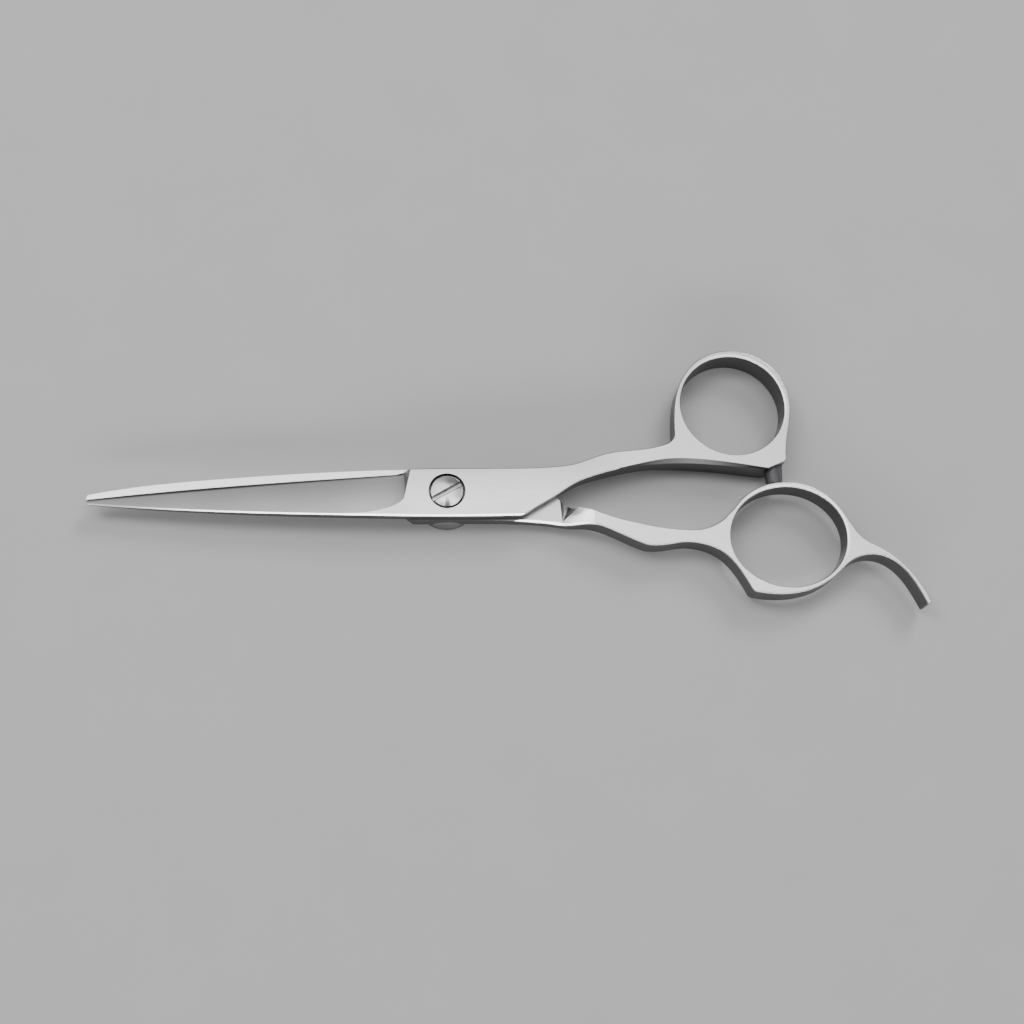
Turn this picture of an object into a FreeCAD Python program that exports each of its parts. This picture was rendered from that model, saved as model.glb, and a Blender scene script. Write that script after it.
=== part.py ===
import FreeCAD, Part
import math
import os

# Hair cutting shears, millimetres. The pivot axis is the Z axis and z = 0 is the table that the
# shears lie on. The points lie towards -X and the handles towards +X. The thumb lever is the upper
# one, with its ring on the +Y side; the finger lever is the lower one, with its ring on the -Y side.

# ---------------------------------------------------------------- driving dimensions
TOP = 6.6                  # top faces of both levers
MATE = 4.2                 # sliding face of the finger blade
BLADE_GAP = 0.05           # air between the two sliding faces
BLOCK_T = 2.4              # thickness of each lever at the pivot
HUB_H = 1.8                # flange of the hub nut, under the finger lever
HUB_R = 6.3
HUB_CONE = (0.9, 0.35)      # width and drop of the flange's coned rim
THUMB_RING_LOW = 0.6       # underside of the thumb ring
FINGER_RING_LOW = 1.4      # underside of the finger ring
EDGE_T = 0.4               # metal left over the cutting edge
FACET_SLOPE = 0.24         # rise of the ground facet from cutting edge to spine, mm per mm
HONED = 0.16               # flat honed along the thumb blade's cutting edge
SPINE_BEVEL = 0.32         # flat along the thumb blade's back and its block's edge
RIM_BEVEL = 0.4            # flat along the finger lever's outer edge, from its block to the shank
EDGE_ROUND = 0.2           # rounding of the handle's edges

RUNOUT_X = -20.0           # where the facet's quarter-oval run-out begins
RUNOUT_LEN = 11.6
RUNOUT_Y = -0.65           # where the run-out meets the heel wall
HEEL_TOP = (-7.1, 4.85)    # heel wall, at the top face and at the facet's foot
HEEL_FOOT = (-8.4, 4.4)
GRIND_R = 13.0             # hollow grinding of the inner faces
GRIND_DEPTH = 0.22
GRIND_X = (-66.0, -12.0)
FINGER_GRIND_SHIFT = 0.9   # the finger blade's facet against the thumb blade's, along Y
FINGER_GRIND_TURN = -0.4   # degrees
UNDER_RAMP_X = (50, 57)    # where the finger lever's underside steps down to its ring

THUMB_HOLE = (59.4, 16.95)
THUMB_HOLE_R = 10.85
FINGER_HOLE = (68.25, -11.55)
FINGER_HOLE_A = 11.87      # half the oval's long axis
FINGER_HOLE_B = 10.5       # half its short axis
FINGER_HOLE_TILT = 2.0     # degrees

HEAD_R = 3.38              # slotted screw head
COUNTERBORE_R = 3.64
COUNTERBORE_CHAMFER = 0.05
COUNTERBORE_FLOOR = 4.85
HEAD_Z = (5.3, 6.3)        # underside and rim of the head
HEAD_CROWN = 0.3
HEAD_ROUND = 0.25          # rounding of the head's rim
SLOT_W = 0.95
SLOT_DEPTH = 0.75
SLOT_ANGLE = 28.0          # degrees from +X
SHANK_R = 1.5
TAIL_R = 1.1
BARREL_R = 2.2             # hub nut's barrel, which the thumb lever turns on
BARREL_TOP = 4.75
BUSH_R = 2.8
RUNNING = 0.05             # radial running clearance
WASHER_R = 4.6             # washer between the blades
WASHER_T = 0.28
WASHER_FLOOR = 3.95
PIN_R = 0.5
PIN_OFFSET = 4.0
PIN_Z = (0.6, 3.2)
SCREW_END_Z = 0.8
SCREW_STEP_Z = 1.7         # where the shank narrows to the tail

BUMPER_R = (1.65, 2.0)     # at its free end and where it meets the thumb ring
BUMPER_LEN = 5.0           # before the thumb ring's facet cuts it off
BUMPER_ROUND = 0.5
BUMPER_X = 67.1
BUMPER_Z = 3.7
BUMPER_END_Y = 0.12        # free end, just off the finger ring
STUD_R = 0.55
STUD_Y = (1.6, 7.0)

STEP_X = 23.0              # the finger lever's sliding face ends here, at a ramp up to the shank
SCOOP_Y = -6.5             # the point of the hollow scoop that cuts into the ramp
SCOOP_FAR = (1.25, 0.68)   # how its far edge runs out along X and Z, mm per mm of Y
SCOOP_ARC = 140.0          # degrees of arc across it
SCOOP_LEN = 9.5            # its length along Y

# ---------------------------------------------------------------- plan outlines (x, y)
BLADE_ROOT_X = -7.2        # where blade and pivot block meet
TIP_X = -70.9

THUMB_SPINE = [(-70.1, -0.45), (-50, -2.5), (-30, -3.92), (-7.2, -5.05)]
THUMB_EDGE = [(-9.8, 4.35), (-30, 3.45), (-50, 2.35), (-70.1, 0.8)]
THUMB_HEEL = (-8.3, 4.75)
THUMB_BLOCK_LOW = [(-7.2, -5.05), (4, -5.37), (14.0, -5.5)]
THUMB_UNDER = [(16.4, -4.75), (18.2, -3.65), (22, -1.5), (26, 0.98), (32, 3.03), (39, 4.5), (46, 5.0),
               (54, 4.5), (64.6, 3.05)]
THUMB_FACET = [(65.6, 3.1), (69.0, 4.45)]
THUMB_RING = [(69.45, 5.2), (70.2, 10.0), (71.5, 17.2), (70.05, 23.1), (65.75, 27.5), (59.2, 29.12),
              (52.85, 27.0), (48.5, 21.3), (47.15, 15.5), (46.9, 11.5)]
THUMB_OVER = [(44.8, 8.8), (42, 8.12), (37, 7.62), (33.4, 7.27), (30, 6.35), (26.5, 5.2), (22, 4.56),
              (16, 4.42), (8, 4.58), (0, 4.76), (-7.2, 4.8)]
BEVEL_DROP = 1.3           # wide bevel under the thumb lever's shank
BEVEL_LOW = [(35, 3.6), (42, 4.75), (48, 4.9), (56, 4.1), (66, 2.6)]
BEVEL_HIGH = [(35, 3.9), (42, 5.3), (48, 5.7), (56, 4.85), (66, 3.0)]
SHANK_BELLY = [(23.5, 4.25), (26, 3.6), (30, 2.85), (36, 2.35), (42, 1.85), (47, 1.15), (52, 0.6)]

FINGER_SPINE = [(-70.3, 1.85), (-60.4, 3.25), (-50.3, 4.08), (-40.2, 4.64), (-20, 5.35), (-7.2, 5.4)]
FINGER_EDGE = [(-9.8, -3.5), (-30, -2.5), (-50, -1.25), (-70.2, 0.45)]
FINGER_HEEL = (-8.3, -5.0)
FINGER_BLOCK_HIGH = [(10.0, 4.9), (2, 5.3), (-7.2, 5.4)]
FINGER_INNER = [(56.5, -6.4), (53.6, -8.55), (51, -9.4), (48, -9.5), (43, -8.92), (36, -7.25), (32, -5.97),
                (28, -4.45), (25, -3.45), (22.3, -1.6), (17, 2.0), (13, 4.0)]
FINGER_RING_TOP = [(83.4, -12.3), (81.7, -10.0), (80.2, -7.1), (77.5, -3.6), (73.5, -0.95), (68.5, 0.0),
                   (64.55, -0.47), (61.0, -2.1), (58, -4.9)]
FINGER_REST_OUT = [(95.6, -25.9), (94.75, -23.6), (92.55, -19.87), (89.4, -16.42), (86.7, -14.5)]
FINGER_REST_IN = [(60.9, -22.85), (66.5, -23.4), (72.05, -22.5), (77.1, -19.75), (80.5, -16.95),
                  (84.5, -15.75), (88, -16.6), (90.95, -19.1), (93.15, -22.65), (94.7, -26.15)]
FINGER_OUTER = [(45.5, -12.2), (48, -12.1), (51, -12.65), (54, -14.0), (56.2, -16.1), (58.2, -19.2),
                (59.6, -22.0)]
FINGER_BUMP = [(-7.2, -5.35), (0, -5.52), (14.5, -6.05), (22, -6.95), (24.5, -7.35), (27, -7.4), (30, -8.0),
               (33, -9.3), (36.5, -11.1), (39.2, -12.3)]
RAMP_LOW = [(STEP_X, -8.5, 4.2), (STEP_X, -7.0, 4.2), (STEP_X, -5.2, 4.55), (STEP_X, -4.0, 5.1),
            (STEP_X, -1.0, 5.4)]
RAMP_HIGH = [(29.0, -8.5, TOP), (29.1, -7.0, TOP), (29.3, -5.2, TOP), (29.4, -4.0, TOP), (29.7, -1.0, TOP)]


def vec(point, z=0.0):
    return FreeCAD.Vector(point[0], point[1], z)


def curve(points, z):
    """Smooth edge through plan points."""
    spline = Part.BSplineCurve()
    spline.interpolate(Points=[vec(p, z) for p in points])
    return spline.toShape()


def blended(edges):
    """Closed run of edges: each gap to the next edge is bridged by a curve tangent to both."""
    run = []
    for edge, after in zip(edges, edges[1:] + edges[:1]):
        run.append(edge)
        a, b = edge.valueAt(edge.LastParameter), after.valueAt(after.FirstParameter)
        reach = (b - a).Length
        if reach > 1e-6:
            leave = edge.tangentAt(edge.LastParameter) * reach
            arrive = after.tangentAt(after.FirstParameter) * reach
            bridge = Part.BSplineCurve()
            bridge.interpolate(Points=[a, b], InitialTangent=leave, FinalTangent=arrive)
            run.append(bridge.toShape())
    return run


def line(a, b, z):
    return Part.makeLine(vec(a, z), vec(b, z))


def arc(a, mid, b, z):
    return Part.Arc(vec(a, z), vec(mid, z), vec(b, z)).toShape()


def prism(edges, low, high):
    """Solid between two heights over a closed plan outline drawn at the lower one."""
    face = Part.Face(Part.Wire(Part.__sortEdges__(edges)))
    return face.extrude(FreeCAD.Vector(0, 0, high - low))


def cylinder(radius, low, high, centre=(0, 0)):
    return Part.makeCylinder(radius, high - low, vec(centre, low))


def revolve(profile):
    """Solid of revolution about the pivot axis from (radius, z) corners."""
    corners = [FreeCAD.Vector(r, 0, z) for r, z in profile]
    wire = Part.makePolygon(corners + corners[:1])
    return Part.Face(wire).revolve(FreeCAD.Vector(0, 0, 0), FreeCAD.Vector(0, 0, 1), 360)


def side_cutter(profile, bend=()):
    """Solid over an (x, z) outline, right across both levers in Y. The bend is its smooth last stretch."""
    corners = [FreeCAD.Vector(x, -60, z) for x, z in profile]
    if not bend:
        return Part.Face(Part.makePolygon(corners + corners[:1])).extrude(FreeCAD.Vector(0, 120, 0))
    smooth = Part.BSplineCurve()
    smooth.interpolate(Points=[FreeCAD.Vector(x, -60, z) for x, z in bend])
    straight = Part.makePolygon([smooth.EndPoint] + corners + [smooth.StartPoint])
    wire = Part.Wire(straight.Edges + [smooth.toShape()])
    return Part.Face(wire).extrude(FreeCAD.Vector(0, 120, 0))


def edges_at(solid, z, keep):
    """Edges lying flat at a height whose middle point passes the test."""
    found = []
    for edge in solid.Edges:
        box = edge.BoundBox
        middle = edge.valueAt((edge.FirstParameter + edge.LastParameter) / 2)
        if abs(box.ZMin - z) < 1e-4 and abs(box.ZMax - z) < 1e-4 and keep(middle):
            found.append(edge)
    return found


def over_strip(low, high, reach):
    """Block over the slanting strip between two rows of (x, y, z) points."""
    knots = [i / (len(low) - 1) for i in range(len(low))]
    rails = []
    for points in (low, high):
        spline = Part.BSplineCurve()
        spline.interpolate(Points=[FreeCAD.Vector(*p) for p in points], Parameters=knots)
        rails.append(spline.toShape())
    return Part.makeRuledSurface(rails[0], rails[1]).extrude(FreeCAD.Vector(0, 0, reach))


# ---------------------------------------------------------------- blade grinding
def cutting_edge_y(x):
    """The thumb blade's cutting edge, a shallow bow from point to heel."""
    s = (x + 70.2) / 60.4
    return 0.75 + 3.6 * s + 0.9 * s * (1 - s)


def facet_cutter():
    """What the wheel takes off the thumb blade's outer face, with its curved run-out at the heel.

    Each station of the ground facet is a straight line from the cutting edge up to the top face.
    Along the blade its slope is even; near the heel it meets the top face on a quarter oval."""
    edge_z = MATE + BLADE_GAP + EDGE_T
    drop = TOP - edge_z
    flat_y = cutting_edge_y(RUNOUT_X) - drop / FACET_SLOPE
    stations = [(x, cutting_edge_y(x) - drop / FACET_SLOPE) for x in (-76, -65, -54, -43, -32, -24)]
    for step in range(13):
        turn = math.radians(7.5 * step)
        across = (flat_y - RUNOUT_Y) * math.cos(turn)
        stations.append((RUNOUT_X + RUNOUT_LEN * math.sin(turn), RUNOUT_Y + across))
    stations.append((-6.5, RUNOUT_Y))
    above, below = [], []
    for x, y_top in stations:
        slope = drop / (cutting_edge_y(x) - y_top)
        above.append((x, y_top - 1.0 / slope, TOP + 1.0))
        below.append((x, 9.0, TOP - slope * (9.0 - y_top)))
    body = over_strip(above, below, 12)
    apex = FreeCAD.Vector(RUNOUT_X + RUNOUT_LEN, RUNOUT_Y, TOP)
    heel = half_space(apex, vec(HEEL_TOP, TOP), vec(HEEL_FOOT, edge_z), FreeCAD.Vector(1, 0, 0))
    return body.cut(heel)


def bevel_along(line_points, width, wall=-1):
    """What a 45 degree flat takes off an edge between a face that looks up and a wall.

    The wall faces -Y, or +Y where wall is 1."""
    beyond = 0.5
    low = [(x, y + wall * beyond, z - width - beyond) for x, y, z in line_points]
    high = [(x, y - wall * (width + beyond), z + beyond) for x, y, z in line_points]
    return over_strip(low, high, 3)


def along(points, steps):
    """Evenly spaced points of the plan curve, with half a step more at both ends."""
    edge = curve(points, 0)
    length = edge.LastParameter - edge.FirstParameter
    run = [edge.valueAt(edge.FirstParameter + length * step / steps) for step in range(steps + 1)]
    return [run[0] + (run[0] - run[1]) * 0.5] + run + [run[-1] + (run[-1] - run[-2]) * 0.5]


def spine_bevel():
    """Narrow flat along the thumb blade's back, which climbs with the ground facet to the block."""
    points = []
    for p in along(THUMB_SPINE, 12)[:-1] + along(THUMB_BLOCK_LOW, 4)[2:]:
        ground = MATE + BLADE_GAP + EDGE_T + FACET_SLOPE * (cutting_edge_y(p.x) - p.y)
        points.append((p.x, p.y, min(ground, TOP)))
    return bevel_along(points, SPINE_BEVEL)


def rim_bevel():
    """Flat along the finger lever's outer edge, which fades in beside the block and climbs the ramp."""
    fade_x, fade = 15.5, 0.16
    climb = (TOP - MATE) / (RAMP_HIGH[1][0] - STEP_X)
    line_points = []
    for p in along(FINGER_BUMP, 30):
        if fade_x - 3 < p.x < RAMP_HIGH[0][0] + 3:
            rise = max(0.0, fade_x - p.x) * fade + max(0.0, p.x - STEP_X) * climb
            line_points.append((p.x, p.y, MATE + rise))
    return bevel_along(line_points, RIM_BEVEL)


def honed_edge():
    """Narrow flat honed along the thumb blade's cutting edge, from the heel to the point."""
    edge_z = MATE + BLADE_GAP + EDGE_T
    line_points = [(p.x, p.y, edge_z) for p in along(THUMB_EDGE[::-1], 12)[:-1]]
    return bevel_along(line_points, HONED, wall=1)


def scoop_cutter():
    """Hollow flute in the ramp: a cone with its point near the outer edge, which widens along +Y."""
    high = TOP + SCOOP_LEN
    half = math.radians(SCOOP_ARC / 2)
    sections = []
    for run in (0.1, SCOOP_LEN):
        near = FreeCAD.Vector(STEP_X - 0.06 * run, SCOOP_Y + run, MATE)
        far = FreeCAD.Vector(STEP_X + SCOOP_FAR[0] * run, near.y, MATE + SCOOP_FAR[1] * run)
        chord = far - near
        sag = chord.Length * (1 - math.cos(half)) / (2 * math.sin(half))
        down = FreeCAD.Vector(chord.z, 0, -chord.x).normalize() * sag
        corners = [far, FreeCAD.Vector(far.x, far.y, high), FreeCAD.Vector(near.x, near.y, high), near]
        edges = [Part.Arc(near, near + chord * 0.5 + down, far).toShape()] + Part.makePolygon(corners).Edges
        sections.append(Part.Wire(edges))
    return Part.makeLoft(sections, True, True)


def half_space(a, b, c, side):
    """Large block on one side of the plane through three points."""
    normal = (b - a).cross(c - a)
    normal.normalize()
    if normal.dot(side) < 0:
        normal = normal * -1
    forward = (b - a).normalize()
    across = normal.cross(forward)
    reach = 60.0
    turns = ((-reach, -reach), (reach, -reach), (reach, reach), (-reach, reach))
    corners = [a + forward * s + across * t for s, t in turns]
    return Part.Face(Part.makePolygon(corners + corners[:1])).extrude(normal * reach)


def turned_over(shape):
    """The thumb blade's grinding carried to the finger blade, which faces the other way."""
    copy = shape.copy()
    copy.rotate(FreeCAD.Vector(0, 0, MATE), FreeCAD.Vector(1, 0, 0), 180)
    copy.translate(FreeCAD.Vector(0, FINGER_GRIND_SHIFT, 0))
    copy.rotate(FreeCAD.Vector(RUNOUT_X, 0, 0), FreeCAD.Vector(0, 0, 1), FINGER_GRIND_TURN)
    return copy


def hollow_grind(face_z, y):
    """Long shallow scoop in a blade's inner face, which leaves only its edges to touch."""
    length = GRIND_X[1] - GRIND_X[0]
    tilt = math.atan2(GRIND_DEPTH, length)
    start = FreeCAD.Vector(GRIND_X[0], y, face_z - GRIND_R)
    return Part.makeCylinder(GRIND_R, length, start, FreeCAD.Vector(math.cos(tilt), 0, math.sin(tilt)))


# ---------------------------------------------------------------- levers
def thumb_blade():
    """Upper lever: blade, pivot block, shank and round thumb ring, forged in one piece."""
    low = THUMB_RING_LOW
    root = [THUMB_BLOCK_LOW[0], THUMB_OVER[-1]]
    handle = prism(blended([
        curve(THUMB_BLOCK_LOW, low),
        curve(THUMB_UNDER, low),
        line(THUMB_FACET[0], THUMB_FACET[1], low),
        curve(THUMB_RING, low),
        curve(THUMB_OVER, low),
        line(root[1], root[0], low),
    ]), low, TOP)
    handle = handle.cut(cylinder(THUMB_HOLE_R, low - 1, TOP + 1, THUMB_HOLE))
    handle = round_edges(handle, low)
    low_rail = [(x, y, TOP - BEVEL_DROP) for x, y in BEVEL_LOW]
    handle = handle.cut(over_strip(low_rail, [(x, y, TOP) for x, y in BEVEL_HIGH], 6))
    slide_z = MATE + BLADE_GAP
    handle = handle.cut(side_cutter([(SHANK_BELLY[-1][0], -5), (-90, -5), (-90, slide_z)], SHANK_BELLY))
    blade = prism([
        curve(THUMB_SPINE, slide_z),
        line(root[0], root[1], slide_z),
        line(root[1], THUMB_HEEL, slide_z),
        line(THUMB_HEEL, THUMB_EDGE[0], slide_z),
        curve(THUMB_EDGE, slide_z),
        arc(THUMB_EDGE[-1], (TIP_X, 0.2), THUMB_SPINE[0], slide_z),
    ], slide_z, TOP)
    lever = handle.fuse(blade).cut(facet_cutter())
    lever = lever.cut(spine_bevel()).cut(honed_edge())
    lever = lever.cut(hollow_grind(slide_z, 0.2))
    lever = lever.cut(counterbore())
    return lever.cut(cylinder(BUSH_R, 0, TOP)).removeSplitter()


def finger_blade():
    """Lower lever: blade, pivot block, shank, oval finger ring and little-finger rest in one piece."""
    low = FINGER_RING_LOW
    root = [FINGER_BUMP[0], FINGER_BLOCK_HIGH[-1]]
    handle = prism(blended([
        curve(FINGER_BUMP, low),
        curve(FINGER_OUTER, low),
        curve(FINGER_REST_IN, low),
        curve(FINGER_REST_OUT, low),
        curve(FINGER_RING_TOP, low),
        curve(FINGER_INNER, low),
        curve(FINGER_BLOCK_HIGH, low),
        line(root[1], root[0], low),
    ]), low, TOP)
    handle = handle.cut(finger_hole(low - 1, TOP + 1))
    handle = round_edges(handle, low)
    block_low = MATE - BLOCK_T
    ramp = [(UNDER_RAMP_X[0], block_low), (UNDER_RAMP_X[1], low)]
    handle = handle.cut(side_cutter([(-90, -5), (-90, block_low)] + ramp + [(UNDER_RAMP_X[1], -5)]))
    handle = handle.cut(side_cutter([(-90, MATE), (STEP_X, MATE), (STEP_X, 20), (-90, 20)]))
    handle = handle.cut(over_strip(RAMP_LOW, RAMP_HIGH, 6)).cut(scoop_cutter())
    handle = handle.cut(rim_bevel())
    blade = prism([
        curve(FINGER_SPINE, block_low),
        line(root[1], root[0], block_low),
        line(root[0], FINGER_HEEL, block_low),
        line(FINGER_HEEL, FINGER_EDGE[0], block_low),
        curve(FINGER_EDGE, block_low),
        arc(FINGER_EDGE[-1], (TIP_X - 0.1, 1.15), FINGER_SPINE[0], block_low),
    ], block_low, MATE)
    lever = handle.fuse(blade).cut(turned_over(facet_cutter()))
    scoop = hollow_grind(0, 0.7)
    scoop.rotate(FreeCAD.Vector(0, 0.7, 0), FreeCAD.Vector(1, 0, 0), 180)
    scoop.translate(FreeCAD.Vector(0, 0, MATE))
    lever = lever.cut(scoop)
    lever = lever.cut(cylinder(WASHER_R + RUNNING, WASHER_FLOOR, TOP))
    lever = lever.cut(cylinder(BARREL_R, 0, TOP))
    return lever.cut(hub_pins()).removeSplitter()


def counterbore():
    """Seat for the screw head in the thumb lever, with its rim chamfered."""
    wide = COUNTERBORE_R + COUNTERBORE_CHAMFER
    return revolve([(0, COUNTERBORE_FLOOR), (COUNTERBORE_R, COUNTERBORE_FLOOR),
                    (COUNTERBORE_R, TOP - COUNTERBORE_CHAMFER), (wide, TOP), (wide, TOP + 1), (0, TOP + 1)])


def finger_hole(low, high):
    oval = Part.Ellipse(vec(FINGER_HOLE, low), FINGER_HOLE_A, FINGER_HOLE_B).toShape()
    oval.rotate(vec(FINGER_HOLE, low), FreeCAD.Vector(0, 0, 1), FINGER_HOLE_TILT)
    return Part.Face(Part.Wire([oval])).extrude(FreeCAD.Vector(0, 0, high - low))


def round_edges(handle, low):
    """Handle with the edges of both flat faces rounded, except where the blade joins it."""
    flat = edges_at(handle, TOP, lambda p: p.x > BLADE_ROOT_X + 0.5)
    flat += edges_at(handle, low, lambda p: p.x > BLADE_ROOT_X + 0.5)
    return handle.makeFillet(EDGE_ROUND, flat)


# ---------------------------------------------------------------- pivot
def tension_screw():
    """Slotted head with a domed face, plain shank, and a thinner tail for the locking sleeve."""
    under, rim = HEAD_Z
    crown_r = (HEAD_R ** 2 + HEAD_CROWN ** 2) / (2 * HEAD_CROWN)
    head = cylinder(HEAD_R, under, rim + HEAD_CROWN + 0.1)
    dome = Part.makeSphere(crown_r, FreeCAD.Vector(0, 0, rim + HEAD_CROWN - crown_r))
    head = head.common(dome)
    rings = [e for e in head.Edges if e.BoundBox.ZLength < 1e-4 and e.BoundBox.ZMin > under + 0.1]
    head = head.makeFillet(HEAD_ROUND, rings)
    screw = head.fuse(cylinder(SHANK_R, SCREW_STEP_Z, under)).fuse(cylinder(TAIL_R, SCREW_END_Z, under))
    corner = FreeCAD.Vector(-HEAD_R - 1, -SLOT_W / 2, rim - SLOT_DEPTH)
    slot = Part.makeBox(2 * HEAD_R + 2, SLOT_W, 5, corner)
    slot.rotate(FreeCAD.Vector(0, 0, 0), FreeCAD.Vector(0, 0, 1), SLOT_ANGLE)
    return screw.cut(slot)


def lock_sleeve():
    """Nylon sleeve on the screw's tail that drags in the nut and holds the setting."""
    return cylinder(SHANK_R, SCREW_END_Z, SCREW_STEP_Z).cut(cylinder(TAIL_R, 0, TOP))


def spring_washer():
    """Coned disc that presses the thumb lever down onto the finger lever."""
    inner, outer, thick = SHANK_R + 0.2, HEAD_R - 0.05, 0.22
    low, high = COUNTERBORE_FLOOR, HEAD_Z[0] - 0.02
    return revolve([(outer, low), (outer, low + thick), (inner, high), (inner, high - thick)])


def pivot_bush():
    """Bearing sleeve pressed into the thumb lever, which turns on the hub nut's barrel."""
    ring = cylinder(BUSH_R, MATE + BLADE_GAP, COUNTERBORE_FLOOR)
    return ring.cut(cylinder(BARREL_R + RUNNING, 0, TOP))


def blade_washer():
    """Thin washer between the levers, let into the finger lever."""
    ring = cylinder(WASHER_R, WASHER_FLOOR, WASHER_FLOOR + WASHER_T)
    return ring.cut(cylinder(BARREL_R, 0, TOP))


def hub_nut():
    """Flanged nut under the finger lever; its barrel is the pivot's axle."""
    foot, lip = 0.35, 0.15
    cone, drop = HUB_CONE
    flange = [(0, 0), (HUB_R - foot, 0), (HUB_R, foot), (HUB_R, HUB_H - drop), (HUB_R - cone, HUB_H)]
    barrel = [(BARREL_R, HUB_H), (BARREL_R, BARREL_TOP - lip), (BARREL_R - lip, BARREL_TOP), (0, BARREL_TOP)]
    body = revolve(flange + barrel)
    return body.cut(cylinder(SHANK_R + RUNNING, SCREW_END_Z - 0.2, TOP)).cut(hub_pins())


def hub_pins():
    """Two dowels that key the hub nut to the finger lever, so that only the screw turns."""
    pins = [cylinder(PIN_R, PIN_Z[0], PIN_Z[1], (side * PIN_OFFSET, 0)) for side in (-1, 1)]
    return Part.makeCompound(pins)


# ---------------------------------------------------------------- bumper
def bumper_stud():
    """Small stem that holds the bumper in the thumb ring's corner."""
    start = FreeCAD.Vector(BUMPER_X, STUD_Y[0], BUMPER_Z)
    return Part.makeCylinder(STUD_R, STUD_Y[1] - STUD_Y[0], start, FreeCAD.Vector(0, 1, 0))


def bumper(thumb):
    """Rubber silencer: a short plug on the thumb ring's corner facet, just off the finger ring."""
    start = FreeCAD.Vector(BUMPER_X, BUMPER_END_Y, BUMPER_Z)
    plug = Part.makeCone(BUMPER_R[0], BUMPER_R[1], BUMPER_LEN, start, FreeCAD.Vector(0, 1, 0))
    end = [e for e in plug.Edges if abs(e.BoundBox.YMax - BUMPER_END_Y) < 1e-4]
    plug = plug.makeFillet(BUMPER_ROUND, end).cut(thumb).cut(bumper_stud())
    return min(plug.Solids, key=lambda solid: solid.BoundBox.YMin)


def export(shape, name):
    shape.exportStep("parts/" + name + ".step")


os.makedirs("parts", exist_ok=True)
thumb = thumb_blade().cut(bumper_stud())
export(thumb, "thumb_blade")
export(finger_blade(), "finger_blade")
export(tension_screw(), "tension_screw")
export(lock_sleeve(), "lock_sleeve")
export(spring_washer(), "spring_washer")
export(pivot_bush(), "pivot_bush")
export(blade_washer(), "blade_washer")
export(hub_nut(), "hub_nut")
export(hub_pins(), "hub_pins")
export(bumper_stud(), "bumper_stud")
export(bumper(thumb), "bumper")
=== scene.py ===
import math
import bpy
from mathutils import Matrix, Vector


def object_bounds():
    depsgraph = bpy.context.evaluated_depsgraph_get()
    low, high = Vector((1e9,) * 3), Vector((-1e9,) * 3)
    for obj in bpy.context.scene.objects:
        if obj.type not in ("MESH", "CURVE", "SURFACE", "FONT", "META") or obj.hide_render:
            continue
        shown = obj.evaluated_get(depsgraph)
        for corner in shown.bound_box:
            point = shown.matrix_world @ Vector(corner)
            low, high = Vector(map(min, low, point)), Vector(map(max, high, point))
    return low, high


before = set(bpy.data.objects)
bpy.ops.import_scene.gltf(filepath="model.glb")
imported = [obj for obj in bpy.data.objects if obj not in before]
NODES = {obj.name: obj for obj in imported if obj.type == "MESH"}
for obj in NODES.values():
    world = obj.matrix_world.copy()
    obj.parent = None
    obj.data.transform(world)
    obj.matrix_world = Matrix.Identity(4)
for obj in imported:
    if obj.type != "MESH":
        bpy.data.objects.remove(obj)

# Hair cutting shears lying closed on a pale table. Metres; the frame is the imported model's own:
# pivot axis on Z, table at z = 0, points towards -X, handles towards +X, front towards -Y.
CAD_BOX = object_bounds()
MM = 0.001

# ---------------------------------------------------------------- places on the levers
HEEL = (-9.0 * MM, -7.0 * MM)             # the ground blades give way to the pivot block along X
SLIDE_Z = 4.2 * MM                        # height of the finger blade's sliding face
EDGE_RISE = 0.45 * MM                     # the thumb blade's cutting edge stands this high over it
COUNTERBORE_SHADE = (3.68 * MM, 3.72 * MM)      # the levers are painted dark up to here from the pivot axis, as shade in the counterbore
FLUTE_TIP = (23.0 * MM, -6.5 * MM)        # the hollow flute in the finger lever's ramp starts here
FLUTE_SPREAD = 1.25                       # and widens along X by this much per unit of Y
THUMB_HOLE = (59.4 * MM, 16.95 * MM, 10.85 * MM, 10.85 * MM)    # middle and radii along X and Y
FINGER_HOLE = (68.25 * MM, -11.55 * MM, 11.87 * MM, 10.5 * MM)
HEAD_GROOVE = (5.40 * MM, 5.70 * MM)      # heights between which the screw's slot has its floor
HEAD_FLAT = 3.14 * MM                     # the screw head's rim has its rounding, painted dark, beyond this radius
SLOT_TURN = math.radians(28.0)            # the slot's direction from +X
SLOT_SHADE_OFF = 0.56 * MM                      # the painted dark line beside the slot runs this far off its middle
TINGE = 1.008                             # blue of the polished steels over their red and green


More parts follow.
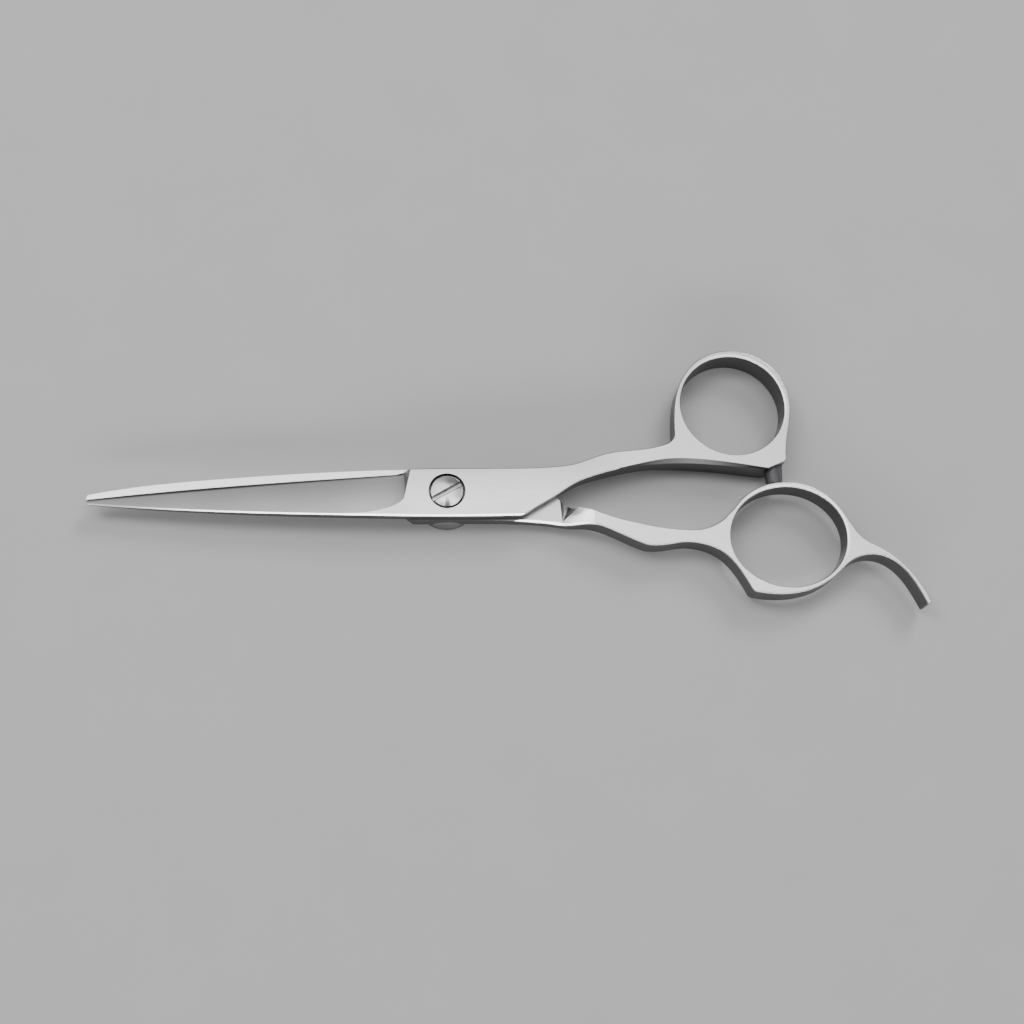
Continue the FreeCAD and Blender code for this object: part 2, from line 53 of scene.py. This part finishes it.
# ---------------------------------------------------------------- node helpers
class Graph:
    """A material's node tree with short calls for the nodes that are used here."""

    def __init__(self, name):
        self.material = bpy.data.materials.new(name)
        self.material.use_nodes = True
        self.tree = self.material.node_tree
        self.tree.nodes.clear()
        self.shader = self.tree.nodes.new("ShaderNodeBsdfPrincipled")
        output = self.tree.nodes.new("ShaderNodeOutputMaterial")
        self.tree.links.new(self.shader.outputs[0], output.inputs["Surface"])
        self.place = self.tree.nodes.new("ShaderNodeTexCoord")

    def put(self, socket, value):
        """Links a socket to another, or sets its own value."""
        if isinstance(value, bpy.types.NodeSocket):
            self.tree.links.new(value, socket)
        else:
            socket.default_value = value

    def set(self, **values):
        """Sets the shader's inputs, with _ for the blanks in their names."""
        for name, value in values.items():
            self.put(self.shader.inputs[name.replace("_", " ")], value)

    def math(self, kind, a, b=0.0, c=0.0):
        """Math node of the given kind."""
        node = self.tree.nodes.new("ShaderNodeMath")
        node.operation = kind
        for socket, value in zip(node.inputs, (a, b, c)):
            self.put(socket, value)
        return node.outputs[0]

    def times(self, product, *factors):
        """Product of all the values."""
        for factor in factors:
            product = self.math("MULTIPLY", product, factor)
        return product

    def spread(self, value, low, high, to_low=0.0, to_high=1.0):
        """Smooth step from one pair of values to another."""
        node = self.tree.nodes.new("ShaderNodeMapRange")
        node.interpolation_type = "SMOOTHSTEP"
        for socket, given in zip(node.inputs, (value, low, high, to_low, to_high)):
            self.put(socket, given)
        return node.outputs[0]

    def fall(self, value, low, high):
        """Smooth step down from 1 to 0."""
        return self.spread(value, low, high, 1.0, 0.0)

    def window(self, value, rise, fall):
        """1 between a smooth step up and a smooth step down, 0 outside them."""
        return self.times(self.spread(value, *rise), self.fall(value, *fall))

    def axes(self, vector):
        """The three components of a vector."""
        node = self.tree.nodes.new("ShaderNodeSeparateXYZ")
        self.put(node.inputs[0], vector)
        return tuple(node.outputs)

    def distance(self, x, y):
        """Length of a vector in the plane."""
        return self.math("SQRT", self.math("MULTIPLY_ADD", y, y, self.times(x, x)))

    def noise(self, scales, scale=1.0, detail=3.0, rough=0.5, turn=0.0):
        """Noise in object coordinates that are scaled along each axis and then turned about Z."""
        mapping = self.tree.nodes.new("ShaderNodeMapping")
        mapping.vector_type = "POINT"
        self.put(mapping.inputs["Vector"], self.place.outputs["Object"])
        mapping.inputs["Rotation"].default_value = (0, 0, turn)
        mapping.inputs["Scale"].default_value = scales
        node = self.tree.nodes.new("ShaderNodeTexNoise")
        self.put(node.inputs["Vector"], mapping.outputs[0])
        node.inputs["Scale"].default_value = scale
        node.inputs["Detail"].default_value = detail
        node.inputs["Roughness"].default_value = rough
        return node.outputs["Fac"]

    def mixed(self, data_type, socket_type, share, a, b):
        """Mix node between a and b, with sockets of the given type."""
        node = self.tree.nodes.new("ShaderNodeMix")
        node.data_type = data_type
        self.put(node.inputs["Factor"], share)
        for name, value in (("A", a), ("B", b)):
            socket = next(s for s in node.inputs if s.name == name and s.type == socket_type)
            self.put(socket, value)
        return next(s for s in node.outputs if s.type == socket_type)

    def mix(self, share, a, b):
        """Colour between a and b."""
        return self.mixed("RGBA", "RGBA", share, a, b)

    def blend(self, share, a, b):
        """Number between a and b."""
        return self.mixed("FLOAT", "VALUE", share, a, b)

    def steel(self, level):
        """Metal of the given grey level, with a trace of blue."""
        node = self.tree.nodes.new("ShaderNodeCombineColor")
        self.put(node.inputs[0], level)
        self.put(node.inputs[1], level)
        self.put(node.inputs[2], self.times(level, TINGE))
        self.set(Base_Color=node.outputs[0], Metallic=1.0)

    def turned(self, share):
        """Stretches highlights the way fine lathe rings do around the pivot axis."""
        node = self.tree.nodes.new("ShaderNodeTangent")
        node.direction_type = "RADIAL"
        node.axis = "Z"
        self.set(Anisotropic=share, Tangent=node.outputs[0])

    def bump(self, height, strength, depth):
        """Relief of the surface."""
        node = self.tree.nodes.new("ShaderNodeBump")
        self.put(node.inputs["Strength"], strength)
        node.inputs["Distance"].default_value = depth
        self.put(node.inputs["Height"], height)
        self.set(Normal=node.outputs[0])


def grey(value):
    """Colour of the given grey level."""
    return (value, value, value, 1.0)


# ---------------------------------------------------------------- materials
class SatinSteel(Graph):
    """Brushed stainless of a lever: grain along the tool, ground facet on the blade, side walls painted
    dark.

    Several of its levels stand for what the polished steel mirrored in the picture, where it lay on
    dark ground. facet_side is the Y direction that the facet leans towards, hole the ring's hole."""

    def __init__(self, name, facet_side, hole):
        super().__init__(name)
        self.facet_side = facet_side
        self.hole = hole
        self.x, self.y, self.z = self.axes(self.place.outputs["Object"])
        _, self.facing_y, self.facing_z = self.axes(self.place.outputs["Normal"])
        self.find_zones()
        self.find_grain()
        upper = self.blend(self.facet, self.flat_level(), self.painted_facet_level())
        level = self.blend(self.wall, upper, self.painted_wall_shade())
        level = self.blend(self.front_bevel(), level, self.bevel_highlight())
        from_pivot = self.distance(self.x, self.y)
        # Painted shade in the counterbore around the pivot axis.
        self.steel(self.times(level, self.spread(from_pivot, *COUNTERBORE_SHADE, 0.3, 1.0)))
        self.smooth()

    def find_zones(self):
        """Shares of the blade, its facet, the side walls, and the faces that show their grain."""
        upright = self.math("ABSOLUTE", self.facing_z)
        leaning = self.times(self.facing_y, self.facet_side)
        self.on_blade = self.fall(self.x, *HEEL)
        self.facet = self.times(self.window(leaning, (0.10, 0.17), (0.30, 0.40)), self.on_blade)
        # Honed flats along the cutting edge take the walls' painted shade.
        honed = self.times(self.spread(leaning, 0.50, 0.62), self.on_blade)
        self.wall = self.math("MAXIMUM", self.fall(upright, 0.25, 0.72), honed)
        self.grained = self.math("MAXIMUM", self.spread(upright, 0.90, 0.985), self.wall)
        self.to_front = self.times(self.facing_y, -1.0)
        self.off_slide = self.math("ABSOLUTE", self.math("SUBTRACT", self.z, SLIDE_Z))

    def find_grain(self):
        """Brushing along the tops, finer grinding along the facet, belt lines around the walls."""
        brush = self.noise((60, 2600, 2600), detail=4.0, rough=0.6)
        grind = self.noise((110, 3400, 3400), detail=4.0, rough=0.65, turn=math.radians(2))
        belt = self.noise((160, 160, 3000), detail=4.0, rough=0.6)
        cloud = self.noise((70, 120, 120))
        self.grain = self.blend(self.wall, self.blend(self.facet, brush, grind), belt)
        mottle = self.spread(self.blend(0.35, self.grain, cloud), 0.3, 0.7)
        self.tone = self.blend(self.grained, 0.5, mottle)

    def painted_facet_level(self):
        """Painted reflection: darker towards the cutting edge, with a painted dark line along it, and
        lighter towards the heel.
        """
        across = self.times(self.y, self.facet_side)
        level = self.math("MULTIPLY_ADD", self.tone, 0.03,
                          self.spread(across, -4.5 * MM, 4.0 * MM, 0.76, 0.38))
        painted_heel_light = self.spread(self.x, -26.0 * MM, -9.0 * MM, 1.07, 1.34)
        painted_edge_shade = self.spread(self.off_slide, EDGE_RISE + 0.04 * MM, EDGE_RISE + 0.17 * MM, 0.12, 1.0)
        return self.times(level, painted_heel_light, painted_edge_shade)

    def flat_level(self):
        """Top faces, with painted light and shade: on the sliding face, in the flute, from front to back,
        on roundings, and beside the ring's rim.
        """
        level = self.math("MULTIPLY_ADD", self.tone, 0.05, 0.52)
        slide = self.fall(self.off_slide, 0.05 * MM, 0.10 * MM)
        # Painted shade on the sliding face off the blade, and painted light on it along the blade.
        level = self.times(level, self.blend(slide, 1.0, self.blend(self.on_blade, 0.80, 1.22)))
        if self.facet_side < 0:
            level = self.times(level, self.painted_flute_shade())
        block = self.fall(self.x, 24.0 * MM, 40.0 * MM)
        # Painted reflection: the block's top darkens towards the back.
        back_shade = self.blend(block, 1.0, self.spread(self.y, -3.5 * MM, 8.0 * MM, 1.08, 0.72))
        back_shade = self.blend(self.on_blade, back_shade, 1.0)
        # Painted highlight on roundings that face the front, painted shade on those that face the back.
        front_edge_highlight = self.spread(self.to_front, 0.12, 0.40, 1.0, 1.5)
        back_edge_shade = self.spread(self.to_front, -0.5, -0.12, 0.55, 1.0)
        painted_edge_light = self.blend(self.on_blade, self.times(front_edge_highlight, back_edge_shade), 1.0)
        return self.times(level, back_shade, painted_edge_light, self.blend(self.ring_rim_highlight(), 0.96, 1.75))

    def painted_flute_shade(self):
        """Painted shade in the flute: its near side darkens along Y, and its far side is painted light as
        far as a painted dark rim.
        """
        step_x, tip_y = FLUTE_TIP
        run = self.math("ADD", self.y, -tip_y)
        width = self.times(self.math("MAXIMUM", run, 0.01 * MM), FLUTE_SPREAD)
        share = self.math("DIVIDE", self.math("SUBTRACT", self.x, step_x), width)
        inside = self.times(
            self.window(share, (-0.06, 0.0), (0.92, 1.06)),
            self.spread(run, 0.0, 0.3 * MM),
            self.fall(self.x, 30.0 * MM, 32.0 * MM),
        )
        depth = self.spread(run, 1.6 * MM, 3.0 * MM, 0.28, 0.08)
        near_side = self.blend(self.spread(share, 0.12, 0.24), 0.55, depth)
        far_side = self.spread(share, 0.84, 0.94, 1.15, 0.40)
        return self.blend(inside, 1.0, self.blend(self.spread(share, 0.45, 0.62), near_side, far_side))

    def ring_rim_highlight(self):
        """Painted highlight: a bright band beside the ring's hole, strongest at the back."""
        x, y, along, across = self.hole
        off_x = self.math("DIVIDE", self.math("SUBTRACT", self.x, x), along)
        off_y = self.math("DIVIDE", self.math("SUBTRACT", self.y, y), across)
        band = self.fall(self.distance(off_x, off_y), 1.02, 1.07)
        at_back = self.math("MULTIPLY_ADD", off_y, 0.8, self.times(off_x, 0.6))
        return self.times(band, self.spread(at_back, 0.0, 0.7))

    def painted_wall_shade(self):
        """Side walls, painted dark for the dark ground they mirrored, and painted lighter where they face
        the back.
        """
        plain = self.spread(self.facing_y, 0.15, 0.60, 0.10, 0.36)
        return self.math("MULTIPLY_ADD", self.tone, 0.03, plain)

    def front_bevel(self):
        """The narrow 45 degree flats along the front of the blades and the pivot block."""
        slanted = self.window(self.to_front, (0.58, 0.66), (0.76, 0.84))
        before_shank = self.fall(self.x, 28.0 * MM, 31.0 * MM)
        return self.times(slanted, before_shank, self.spread(self.facing_z, 0.3, 0.5))

    def bevel_highlight(self):
        """Painted highlight: dark at the points and bright from the middle of the blades on."""
        return self.spread(self.x, -66.0 * MM, -36.0 * MM, 0.20, 0.90)

    def smooth(self):
        """Roughness, and the grain's relief."""
        flat = self.math("MULTIPLY_ADD", self.tone, 0.10, 0.24)
        facet = self.math("MULTIPLY_ADD", self.tone, 0.03, 0.33)
        wall = self.math("MULTIPLY_ADD", self.tone, 0.06, 0.29)
        self.set(Roughness=self.blend(self.wall, self.blend(self.facet, flat, facet), wall))
        relief = self.times(self.blend(self.grained, 0.02, 0.05), self.blend(self.facet, 1.0, 0.4))
        self.bump(self.grain, relief, 0.02 * MM)


class PolishedSteel(Graph):
    """Finely polished, turned steel with painted shade on its side walls."""

    def __init__(self, name, level):
        super().__init__(name)
        lines = self.noise((300, 4000, 4000))
        cloud = self.noise((200, 200, 200))
        tone = self.spread(self.blend(0.5, lines, cloud), 0.3, 0.7)
        upright = self.math("ABSOLUTE", self.axes(self.place.outputs["Normal"])[2])
        level = self.math("MULTIPLY_ADD", tone, 0.07, level)
        # Painted shade on the side walls.
        level = self.times(level, self.spread(upright, 0.20, 0.70, 0.45, 1.0), *self.marks())
        self.steel(level)
        self.set(Roughness=self.math("MULTIPLY_ADD", tone, 0.08, 0.18))
        self.turned(0.75)
        self.bump(lines, 0.06, 0.01 * MM)

    def marks(self):
        """Factors of places painted brighter or darker than the rest. Plain parts have none."""
        return []


class ScrewHead(PolishedSteel):
    """The screw's face: painted shade on the slot floor and rim, painted reflections in wedge shapes
    around the axis, a painted dark line beside the slot.
    """

    def marks(self):
        self.x, self.y, self.z = self.axes(self.place.outputs["Object"])
        self.from_axis = self.distance(self.x, self.y)
        low, high = HEAD_GROOVE
        floor = self.times(self.math("GREATER_THAN", self.z, low), self.math("LESS_THAN", self.z, high))
        # Painted shade on the slot floor and on the rim's rounding.
        rim = self.spread(self.from_axis, HEAD_FLAT, HEAD_FLAT + 0.2 * MM, 1.0, 0.35)
        return [self.blend(floor, 1.0, 0.72), rim, *self.painted_wedges(), self.slot_shade_line()]

    def painted_wedges(self):
        """Painted reflections: sheen on the front, a narrow dark wedge in its middle, and a darker right
        side.
        """
        reach = self.math("MAXIMUM", self.from_axis, 0.01 * MM)
        to_front = self.math("DIVIDE", self.times(self.y, -1.0), reach)
        to_right = self.math("DIVIDE", self.x, reach)
        outward = self.spread(reach, 0.9 * MM, 2.6 * MM)
        sheen = self.times(self.spread(to_front, 0.45, 0.85), outward)
        wedge = self.times(self.spread(to_front, 0.972, 0.996), outward)
        right = self.times(self.spread(to_right, 0.55, 0.95), outward)
        return [self.blend(sheen, 0.92, 1.25), self.blend(wedge, 1.0, 0.22), self.blend(right, 1.0, 0.55)]

    def slot_shade_line(self):
        """Thin painted dark line beside the slot, for the shade of its lower edge."""
        off_slot = self.math("MULTIPLY_ADD", self.y, -math.cos(SLOT_TURN),
                             self.times(self.x, math.sin(SLOT_TURN)))
        off_line = self.math("ABSOLUTE", self.math("SUBTRACT", off_slot, SLOT_SHADE_OFF))
        return self.spread(off_line, 0.06 * MM, 0.13 * MM, 0.30, 1.0)


def spring_steel(name):
    """Spring steel with temper colours between blue and straw."""
    g = Graph(name)
    cloud = g.noise((500, 500, 500), detail=4.0, rough=0.6)
    g.set(Base_Color=g.mix(cloud, (0.16, 0.16, 0.19, 1), (0.30, 0.26, 0.22, 1)))
    g.set(Metallic=1.0, Roughness=g.spread(cloud, 0.3, 0.7, 0.22, 0.36))
    return g.material


def bush_bronze(name):
    """Sintered bronze with fine pores."""
    g = Graph(name)
    pores = g.noise((1, 1, 1), scale=2500.0, rough=0.6)
    g.set(Base_Color=g.mix(pores, (0.42, 0.24, 0.10, 1), (0.62, 0.39, 0.18, 1)))
    g.set(Metallic=1.0, Roughness=g.spread(pores, 0.3, 0.7, 0.3, 0.5))
    g.bump(pores, 0.2, 0.02 * MM)
    return g.material


def nylon(name):
    """Natural white nylon, slightly uneven."""
    g = Graph(name)
    cloud = g.noise((1, 1, 1), scale=900.0, detail=4.0)
    g.set(Base_Color=g.mix(cloud, (0.66, 0.65, 0.60, 1), (0.78, 0.77, 0.73, 1)))
    g.set(Roughness=g.spread(cloud, 0.3, 0.7, 0.38, 0.5))
    g.bump(cloud, 0.15, 0.02 * MM)
    return g.material


def bumper_rubber(name):
    """Soft grey rubber with faint mould lines along its axis."""
    g = Graph(name)
    fine = g.noise((1, 1, 1), scale=3500.0, rough=0.6)
    lines = g.noise((1900, 160, 1900), rough=0.55)
    tone = g.spread(lines, 0.32, 0.68)
    g.set(Base_Color=g.mix(tone, (0.042, 0.043, 0.046, 1), (0.105, 0.106, 0.110, 1)))
    g.set(Roughness=g.spread(fine, 0.3, 0.7, 0.38, 0.55))
    g.bump(g.blend(0.5, fine, lines), 0.30, 0.02 * MM)
    return g.material


def dress(material, *nodes):
    """Gives every slot of the CAD nodes' meshes one material."""
    for node in nodes:
        slots = NODES[node].data.materials
        slots.clear()
        slots.append(material)


dress(SatinSteel("thumb_satin_steel", 1, THUMB_HOLE).material, "thumb_blade")
dress(SatinSteel("finger_satin_steel", -1, FINGER_HOLE).material, "finger_blade")
dress(ScrewHead("screw_steel_polished", 0.46).material, "tension_screw")
dress(PolishedSteel("hub_steel_turned", 0.36).material, "hub_nut", "hub_pins", "bumper_stud")
dress(spring_steel("spring_steel_blued"), "spring_washer")
dress(bush_bronze("bush_bronze_sintered"), "pivot_bush")
dress(nylon("nylon_natural"), "blade_washer", "lock_sleeve")
dress(bumper_rubber("bumper_rubber_dark"), "bumper")


# ---------------------------------------------------------------- stage
def table_top():
    """Plain pale table, large enough to fill every view."""
    reach = 2.8
    mesh = bpy.data.meshes.new("table")
    corners = [(-reach, -reach, 0), (reach, -reach, 0), (reach, reach, 0), (-reach, reach, 0)]
    mesh.from_pydata(corners, [], [(0, 1, 2, 3)])
    table = bpy.data.objects.new("table", mesh)
    bpy.context.scene.collection.objects.link(table)
    table.location.z = CAD_BOX[0].z - 0.02 * MM
    g = Graph("table_pale")
    cloud = g.noise((1, 1, 1), scale=60.0, detail=4.0, rough=0.55)
    g.set(Base_Color=g.mix(cloud, grey(0.45), grey(0.48)), Roughness=0.75)
    mesh.materials.append(g.material)


def softbox(name, place, aim, size, power):
    """Rectangular light at a place, facing the aim."""
    light = bpy.data.lights.new(name, "AREA")
    light.shape = "RECTANGLE"
    light.size, light.size_y = size
    light.energy = power
    lamp = bpy.data.objects.new(name, light)
    bpy.context.scene.collection.objects.link(lamp)
    lamp.location = place
    lamp.rotation_mode = "QUATERNION"
    lamp.rotation_quaternion = (Vector(aim) - Vector(place)).to_track_quat("-Z", "Y")


def studio_world(level):
    """Even, dim light from all round."""
    world = bpy.data.worlds.new("studio")
    world.use_nodes = True
    background = world.node_tree.nodes["Background"]
    background.inputs["Color"].default_value = grey(1.0)
    background.inputs["Strength"].default_value = level
    bpy.context.scene.world = world


table_top()
softbox("overhead", (0.10, 0.22, 0.95), (0.02, 0.0, 0.0), (0.75, 0.42), 3.2)
softbox("left_high", (-0.45, 0.25, 0.80), (-0.03, 0.0, 0.0), (0.30, 0.40), 2.6)
softbox("key", (1.20, 1.70, 1.70), (0.0, 0.0, 0.0), (0.90, 0.90), 28.0)
softbox("front_low", (0.0, -2.6, 0.884), (0.0, 0.0, 0.0), (4.16, 0.47), 61.0)
studio_world(0.32)


# ---------------------------------------------------------------- camera
def camera():
    """Looks down at the shears from a little in front of them, as the picture of them was taken."""
    data = bpy.data.cameras.new("camera")
    data.lens = 52.73
    data.sensor_width = 36.0
    data.clip_start = 0.01
    data.clip_end = 20.0
    rig = bpy.data.objects.new("camera", data)
    bpy.context.scene.collection.objects.link(rig)
    right = Vector((0.9964, -0.0502, 0.0685))
    up = Vector((0.0269, 0.9515, 0.3064))
    turn = Matrix((right, up, right.cross(up))).transposed()
    rig.matrix_world = Matrix.Translation((-0.0113, -0.0954, 0.2899)) @ turn.to_4x4()
    bpy.context.scene.camera = rig


camera()
